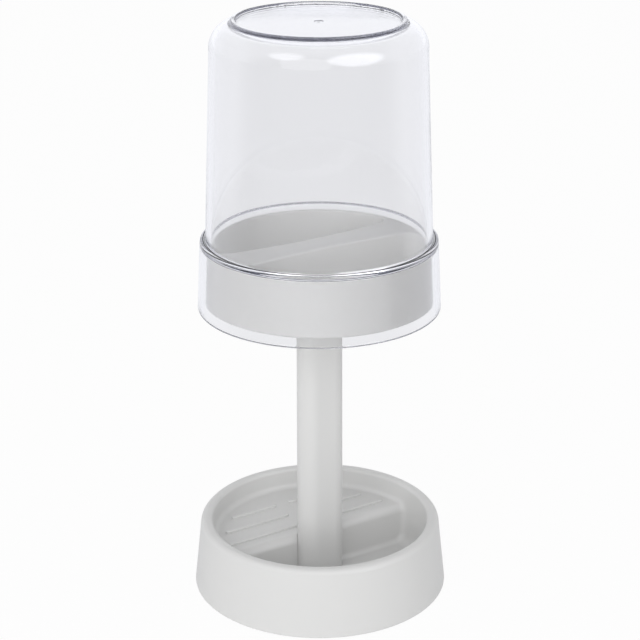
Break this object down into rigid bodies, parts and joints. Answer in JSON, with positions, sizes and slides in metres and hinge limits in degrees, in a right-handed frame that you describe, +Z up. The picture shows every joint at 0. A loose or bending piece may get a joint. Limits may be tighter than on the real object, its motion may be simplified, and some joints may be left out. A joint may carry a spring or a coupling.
{
  "type": "toothbrush holder",
  "caption": "Countertop holder for toothbrushes and a tube: bowl base, oval post, collar with two D-shaped openings and a clear lift-off cover.",
  "frame": {"origin": "centre of the foot pads' undersides, on the counter under the post", "axes": "+Z up along the post, +X along the collar's divider, -Y towards the brushes' side and the deep well"},
  "size_m": [0.0928, 0.0928, 0.2105],
  "materials": {
    "grey_plastic": "light grey, fine satin moulding grain",
    "clear_plastic": "clear, polished",
    "screw_steel": "plain zinc plated",
    "pad_rubber": "soft matt grey"
  },
  "bodies": {
    "stand": {"base": "grey_plastic", "post": "grey_plastic", "collar": "grey_plastic", "base_screws": "screw_steel", "foot_pad_1": "pad_rubber", "foot_pad_2": "pad_rubber", "foot_pad_3": "pad_rubber", "foot_pad_4": "pad_rubber"},
    "cover": {"cover": "clear_plastic"}
  },
  "joints": [
    {"name": "cover_lift", "type": "slide", "parent": "stand", "child": "cover", "axis": [0, 0, 1], "range_m": [0, 0.11]}
  ]
}
